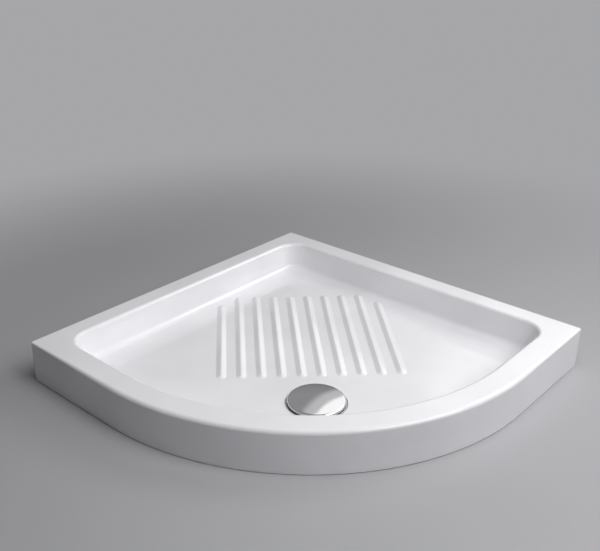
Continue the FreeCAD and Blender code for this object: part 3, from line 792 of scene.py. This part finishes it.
CAP_LIP_STEPS, CAP_CROWN_STEPS, CAP_ROLL_STEPS, CAP_STEPS = 12, 14, 8, 128
SCREW_STEPS, PRONG_STEPS, PRONG_TIP_STEPS, COMB_STEPS, COMB_EDGE_STEPS = 32, 14, 5, 120, 3
HEAD_EDGE, HEAD_DEPTH = 0.15 * MM, 1.6 * MM    # thin edge and cone of a screw's head
THREAD_START, THREAD_PITCH, THREAD_DEPTH = 0.4 * MM, 0.7 * MM, 0.28 * MM
PLAIN_SHANK = 1.2 * MM    # length without thread
POINT_WIDTH, POINT_HEIGHT = 0.5 * MM, 0.6 * MM    # chamfer at a screw's tip
CROSS_REACH, CROSS_TAPER, CROSS_DEPTH = 0.62, 0.86, 0.8 * MM    # reach as a share of the head
PRONG_TIP, PRONG_NECK = 0.84, 0.92    # radii as shares of the root's
ROOT_TOP, ROOT_SIDE, ROOT_DEPTH = 0.9 * MM, 0.25 * MM, 0.4 * MM    # above the ring, and the depth in it
COMB_EDGE = 0.35 * MM    # rounding of the comb ring's edges


def ring_tree():
    """Copies a piece round an upright axis; every so many places one is left free."""
    tree, node, given = start_geometry("Ring of copies", {
        "Count": "Int", "Free Every": "Int", "First": "Float", "Axis": "Vector", "Material": "Material"})
    points = node("GeometryNodeMeshLine", {
        "Count": given["Count"], "Start Location": given["Axis"], "Offset": (0, 0, 0)}, mode="OFFSET")
    index = node("GeometryNodeInputIndex")
    part = node("Math", (index, given["Count"]), operation="DIVIDE")
    turn = node("Math", (part, TURN, given["First"]), operation="MULTIPLY_ADD")
    rotation = node("CombineXYZ", {"Z": turn})
    rest = node("Math", (index, given["Free Every"]), operation="MODULO")
    taken = node("Math", (rest, 0.5), operation="GREATER_THAN")
    all_taken = node("Math", (given["Free Every"], 1.5), operation="LESS_THAN")
    wanted = node("Math", (taken, all_taken), operation="MAXIMUM")
    copies = node("GeometryNodeInstanceOnPoints", {
        "Points": points, "Selection": wanted, "Instance": given["Geometry"], "Rotation": rotation})
    real = node("GeometryNodeRealizeInstances", {0: copies})
    done = node("GeometryNodeSetMaterial", {"Geometry": real, "Material": given["Material"]})
    node("NodeGroupOutput", {0: done})
    return tree


def ring_of(piece, material, count, free_every=1, first=0):
    """A mesh set round the waste axis as many times as asked, from a bearing counted from the diagonal."""
    return built(piece, ring_tree(), {
        "Count": count, "Free Every": free_every, "First": first - QUARTER / 2, "Axis": WASTE.xy.to_3d(),
        "Material": material})


def cap_mesh(waste, material):
    """Pressed cap: outer skin, rolled edge and inner skin, each turned from one section."""
    radius = (CAP_HIGH.x - CAP_LOW.x) / 2
    lip_middle = (radius - waste.cap_lip, CAP_LOW.z + waste.cap_side)
    drop = math.sqrt((waste.cap_crown - waste.cap_lip) ** 2 - lip_middle[0] ** 2)
    crown_middle = (0, lip_middle[1] - drop)
    meeting = math.atan2(drop, lip_middle[0])

    def skin(inset):
        lip = arc(lip_middle, waste.cap_lip - inset, 0, meeting, CAP_LIP_STEPS)
        crown = arc(crown_middle, waste.cap_crown - inset, meeting, QUARTER, CAP_CROWN_STEPS)[1:-1]
        return lip + crown + [(0, crown_middle[1] + waste.cap_crown - inset)]

    outer, inner = skin(0), skin(waste.cap_wall)
    edge = waste.cap_wall / 2
    rolled = arc((radius - edge, CAP_LOW.z + edge), edge, 0, -math.pi, CAP_ROLL_STEPS)
    bm = bmesh.new()
    lathe(bm, inner[::-1] + rolled[::-1] + outer, WASTE, CAP_STEPS)
    bmesh.ops.remove_doubles(bm, verts=bm.verts, dist=WELD)
    return mesh_from("waste_cap", bm, material)


def screw_mesh(waste, material):
    """One countersunk screw on its circle: cross recess, thin edge, cone and threaded shank."""
    low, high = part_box("flange_screws")
    axis = Vector((waste.screw_circle, 0, 0))
    head, shank, slot = waste.screw_head / 2, waste.screw_shank / 2, waste.screw_slot / 2
    cone = high.z - HEAD_DEPTH
    outline = [(head - HEAD_EDGE, high.z), (head, high.z - HEAD_EDGE), (shank, cone)]
    for i in range(int((cone - low.z - PLAIN_SHANK) / THREAD_PITCH)):
        z = cone - THREAD_START - THREAD_PITCH * i
        outline += [(shank, z), (shank - THREAD_DEPTH, z - THREAD_PITCH / 2)]
    outline += [(shank, low.z + POINT_HEIGHT), (shank - POINT_WIDTH, low.z), (0, low.z)]
    bm = bmesh.new()
    rim = lathe(bm, outline, axis, SCREW_STEPS)[0]
    arm = CROSS_REACH * head
    rows = []
    for size, depth in ((1.0, 0.0), (CROSS_TAPER, CROSS_DEPTH)):
        row = []
        for i in range(4):
            ahead = Vector((math.cos(i * QUARTER), math.sin(i * QUARTER), 0))
            aside = Vector((-ahead.y, ahead.x, 0))
            for reach, side in ((arm, -slot), (arm, slot), (slot, slot)):
                spot = axis + (ahead * reach + aside * side) * size
                row.append(bm.verts.new((spot.x, spot.y, high.z - depth)))
        rows.append(row)
    zip_loops(bm, rim, rows[0], axis)
    band(bm, rows[0], rows[1])
    bm.faces.new(rows[1])
    return mesh_from("screw", bm, material)


def prong_mesh(waste, material, low, high):
    """One prong of the comb on its circle: swelling root, slight taper and a round tip."""
    root = waste.prong_width / 2
    tip = root * PRONG_TIP
    outline = [(0, high)] + arc((0, high - tip), tip, QUARTER, 0, PRONG_TIP_STEPS)[1:]
    outline += [(root * PRONG_NECK, low + ROOT_TOP), (root, low + ROOT_SIDE)]
    outline += [(root, low - ROOT_DEPTH), (0, low - ROOT_DEPTH)]
    bm = bmesh.new()
    lathe(bm, outline, Vector((waste.prong_circle, 0, 0)), PRONG_STEPS)
    return mesh_from("prong", bm, material)


def comb_mesh(waste, material):
    """Hair catcher: a flat ring with soft edges and a comb of prongs, free where the cover's legs stand."""
    low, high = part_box("hair_catcher")
    outer, top = (high.x - low.x) / 2, low.z + waste.comb_wall
    inner = outer - waste.comb_width
    corners = (outer, top, -1, -1), (inner, top, 1, -1), (inner, low.z, 1, 1), (outer, low.z, -1, 1)
    outline = []
    for i, (radius, z, aside, up) in enumerate(corners):
        middle = (radius + aside * COMB_EDGE, z + up * COMB_EDGE)
        outline += arc(middle, COMB_EDGE, i * QUARTER, (i + 1) * QUARTER, COMB_EDGE_STEPS)
    bm = bmesh.new()
    lathe(bm, outline + outline[:1], WASTE, COMB_STEPS)
    bmesh.ops.remove_doubles(bm, verts=bm.verts, dist=WELD)
    prong, places = prong_mesh(waste, material, top, high.z), waste.prong_places
    bm.from_mesh(ring_of(prong, material, places, free_every=places // waste.leg_count))
    return mesh_from("hair_comb", bm, material)


def finished(name, mesh, body, node):
    """An object that stands for a CAD node and moves with its body."""
    made = new_object(name, mesh)
    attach(made, body)
    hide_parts(node)


def dress(node, material):
    """Gives a CAD node its finish."""
    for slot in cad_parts[node].material_slots:
        slot.material = material


# Studio, in metres and radians

STUDIO_RADIUS, STUDIO_STEPS = 14, 96
FADE_FROM, FADE_TO = 0.6, 1.7    # distances from the tray's middle between which the floor runs out
KEY_LAMP = (1.3, 1.1), (1.55, 0.14, 1.55)    # size and place
SIDE_LAMP = (1.2, 0.9), (0.78, 1.67, 1.54)
TOP_LAMP = (1.2, 1.2), (0.5, -0.3, 1.8)
LIT_POINT = Vector((0, 0, 0.05))    # what the lamps face
HALO_FADE = math.radians(65), math.radians(61)    # none and all of it, at angles from the glow's middle
CORE_FADE = math.radians(58.5), math.radians(56.5)
ZENITH_FADE = math.radians(75), math.radians(55)    # none and all of the glow, above the horizon
HORIZON_TOP = math.radians(32)
SENSOR_WIDTH, VIEW_DEPTH = 36, 100    # the sensor in millimetres


def background(node):
    """1 for the rays that should see the pale background: the camera's, and those in metal and glaze."""
    rays = node("LightPath").node.outputs
    seen = node("Math", (rays["Is Camera Ray"], rays["Is Glossy Ray"]), operation="MAXIMUM")
    return node("Math", (seen, rays["Is Transmission Ray"]), operation="MAXIMUM")


def studio_floor(stage):
    """Pale matt studio floor, very slightly mottled, which runs out into the even background."""
    material, node, place = start_material("Studio floor")
    mottle = node("TexNoise", {"Vector": place, "Scale": 1 / (350 * MM), "Detail": 3.0})
    tone = node("Mix", {0: mottle, MIX_A: solid(stage.floor), MIX_B: solid(stage.floor, 0.94)}, **COLOUR)
    matt = node("BsdfPrincipled", {"Base Color": tone, "Roughness": 0.75})
    far = node("VectorMath", {0: place}, "Value", operation="LENGTH")
    fade = node("MapRange", {"Value": far, "From Min": FADE_FROM, "From Max": FADE_TO}, **SMOOTH)
    share = node("Math", (fade, background(node)), operation="MULTIPLY")
    even = node("Emission", {"Color": solid(stage.background)})
    shader = node("MixShader", (share, matt, even))
    node("OutputMaterial", {"Surface": shader})
    return material


def studio_world(stage):
    """Faint light all round, and an even background that has a glow and a dark horizon in reflections."""
    world = bpy.data.worlds.new("Studio")
    node = start_tree(world)
    light = node("Background", {"Color": solid(stage.ambient_colour), "Strength": stage.ambient})
    ahead = node("TexCoord", out="Generated")
    low, turn = math.cos(stage.glow_height), stage.glow_bearing
    middle = (low * math.cos(turn), low * math.sin(turn), math.sin(stage.glow_height))
    near = node("VectorMath", (ahead, middle), "Value", operation="DOT_PRODUCT")
    halo, core = (
        node("MapRange", {
            "Value": near, "From Min": math.cos(out), "From Max": math.cos(full), "To Max": level}, **SMOOTH)
        for (out, full), level in ((HALO_FADE, stage.halo), (CORE_FADE, stage.glow - stage.halo)))
    glow = node("Math", (halo, core), operation="ADD")
    up = node("SeparateXYZ", {0: ahead}, "Z")
    out, full = ZENITH_FADE
    below_zenith = node("MapRange", {
        "Value": up, "From Min": math.sin(out), "From Max": math.sin(full)}, **SMOOTH)
    shade = -stage.horizon_shade
    horizon = node("MapRange", {
        "Value": up, "From Max": math.sin(HORIZON_TOP), "To Min": shade, "To Max": 0}, **SMOOTH)
    panel = node("Math", (glow, below_zenith, horizon), operation="MULTIPLY_ADD")
    mirrored = node("LightPath", out="Is Glossy Ray")
    share = node("Math", (panel, mirrored), operation="MULTIPLY")
    tone = node(
        "Mix", {0: share, MIX_A: solid(stage.background), MIX_B: (1, 1, 1, 1)}, clamp_factor=False, **COLOUR)
    even = node("Background", {"Color": tone})
    both = node("MixShader", (background(node), light, even))
    node("OutputWorld", {"Surface": both})
    return world


def lamp(name, watts, size, place):
    """A soft rectangular lamp that faces the tray and isn't seen itself."""
    data = bpy.data.lights.new(name, "AREA")
    data.shape = "RECTANGLE"
    data.size, data.size_y = size
    data.energy = watts
    made = new_object(name, data)
    made.location = place
    made.rotation_euler = (LIT_POINT - Vector(place)).to_track_quat("-Z", "Y").to_euler()
    made.visible_camera = False
    return made


def photo_camera(stage):
    """A camera at the photograph's viewing angle."""
    data = bpy.data.cameras.new("camera")
    data.sensor_fit = "HORIZONTAL"
    data.sensor_width = SENSOR_WIDTH
    data.lens = stage.lens
    data.shift_x = stage.shift
    data.clip_end = VIEW_DEPTH
    made = new_object("camera", data)
    made.location = stage.camera_place
    made.rotation_euler = (QUARTER - stage.elevation, 0, stage.azimuth)
    return made


# Operators

class SHOWERTRAY_OT_ceramic_tray(Operator):
    """Build the glazed tray with its basin, ribs and underside"""
    bl_idname = "showertray.ceramic_tray"
    bl_label = "Ceramic Tray"

    def execute(self, context):
        settings = context.scene.shower_tray
        mesh = tray_mesh(settings, glazed_fireclay(settings.finish))
        finished("ceramic_tray", mesh, "tray", "tray_body")
        return {"FINISHED"}


class SHOWERTRAY_OT_waste_cover(Operator):
    """Build the chrome cap and finish the carrier inside it"""
    bl_idname = "showertray.waste_cover"
    bl_label = "Waste Cover"

    def execute(self, context):
        settings = context.scene.shower_tray
        mesh = cap_mesh(settings.waste, chrome_plate(settings.finish))
        finished("waste_cap", mesh, "cover", "cover_cap")
        dress("cover_carrier", moulded_polypropylene("Dark polypropylene", settings.finish.carrier))
        return {"FINISHED"}


class SHOWERTRAY_OT_hair_catcher(Operator):
    """Build the comb ring that catches hair"""
    bl_idname = "showertray.hair_catcher"
    bl_label = "Hair Catcher"

    def execute(self, context):
        settings = context.scene.shower_tray
        plastic = moulded_polypropylene("Light grey polypropylene", settings.finish.catcher)
        mesh = comb_mesh(settings.waste, plastic)
        finished("hair_comb", mesh, "catcher", "hair_catcher")
        return {"FINISHED"}


class SHOWERTRAY_OT_flange_screws(Operator):
    """Build the ring of screws and finish the inserts that they hold in"""
    bl_idname = "showertray.flange_screws"
    bl_label = "Flange Screws"

    def execute(self, context):
        settings = context.scene.shower_tray
        count = settings.waste.screw_count
        steel = small_metal("Bright screw steel", settings.finish.screw)
        mesh = ring_of(screw_mesh(settings.waste, steel), steel, count, first=math.pi / count)
        finished("screws", mesh, "tray", "flange_screws")
        dress("screw_inserts", small_metal("Turned brass", settings.finish.brass))
        return {"FINISHED"}


class SHOWERTRAY_OT_waste_pieces(Operator):
    """Finish the flange, trap, waste body and seals"""
    bl_idname = "showertray.waste_pieces"
    bl_label = "Waste Pieces"

    def execute(self, context):
        finish = context.scene.shower_tray.finish
        dress("waste_flange", satin_stainless(finish))
        dress("waste_body", moulded_polypropylene("Grey polypropylene", finish.body))
        dress("trap_bell", moulded_polypropylene("White polypropylene", finish.trap))
        rubber = seal_rubber(finish)
        for node in ("upper_seal", "lower_seal", "outlet_seal"):
            dress(node, rubber)
        return {"FINISHED"}


class SHOWERTRAY_OT_stage(Operator):
    """Lay the floor and set the lamps and the camera"""
    bl_idname = "showertray.stage"
    bl_label = "Stage"

    def execute(self, context):
        scene, stage = context.scene, context.scene.shower_tray.stage
        scene.view_settings.view_transform = "Standard"
        bm = bmesh.new()
        bmesh.ops.create_circle(bm, cap_ends=True, segments=STUDIO_STEPS, radius=STUDIO_RADIUS)
        floor = new_object("studio_floor", mesh_from("studio_floor", bm, studio_floor(stage)))
        lamp("key_lamp", stage.key_power, *KEY_LAMP)
        lamp("side_lamp", stage.side_power, *SIDE_LAMP)
        overhead = lamp("top_lamp", stage.top_power, *TOP_LAMP)
        overhead.visible_glossy = False
        scene.world = studio_world(stage)
        scene.camera = photo_camera(stage)
        return {"FINISHED"}


class SHOWERTRAY_PT_panel(Panel):
    """Lists what builds the shower tray, and its settings"""
    bl_label = "Shower Tray"
    bl_idname = "SHOWERTRAY_PT_panel"
    bl_space_type = "VIEW_3D"
    bl_region_type = "UI"
    bl_category = "Shower Tray"

    def draw(self, context):
        layout = self.layout
        for operator in OPERATORS:
            layout.operator(operator.bl_idname)
        settings = context.scene.shower_tray
        for group in (settings.tray, settings.ribs, settings.waste, settings.finish, settings.stage):
            box = layout.box()
            for name in group.bl_rna.properties.keys():
                if name not in ("rna_type", "name"):
                    box.prop(group, name)


OPERATORS = [
    SHOWERTRAY_OT_ceramic_tray, SHOWERTRAY_OT_waste_cover, SHOWERTRAY_OT_hair_catcher,
    SHOWERTRAY_OT_flange_screws, SHOWERTRAY_OT_waste_pieces, SHOWERTRAY_OT_stage,
]
CLASSES = [
    TraySizes, RibSizes, WasteSizes, Finishes, StageSettings, ShowerTraySettings, *OPERATORS,
    SHOWERTRAY_PT_panel,
]


def register():
    """Registers the settings, operators and panel."""
    for cls in CLASSES:
        bpy.utils.register_class(cls)
    bpy.types.Scene.shower_tray = PointerProperty(type=ShowerTraySettings)


def unregister():
    """Takes the settings, operators and panel away again."""
    del bpy.types.Scene.shower_tray
    for cls in reversed(CLASSES):
        bpy.utils.unregister_class(cls)


def main():
    """Builds the tray, its waste and the stage."""
    register()
    bpy.ops.showertray.ceramic_tray()
    bpy.ops.showertray.waste_cover()
    bpy.ops.showertray.hair_catcher()
    bpy.ops.showertray.flange_screws()
    bpy.ops.showertray.waste_pieces()
    bpy.ops.showertray.stage()


if __name__ == "__main__":
    main()
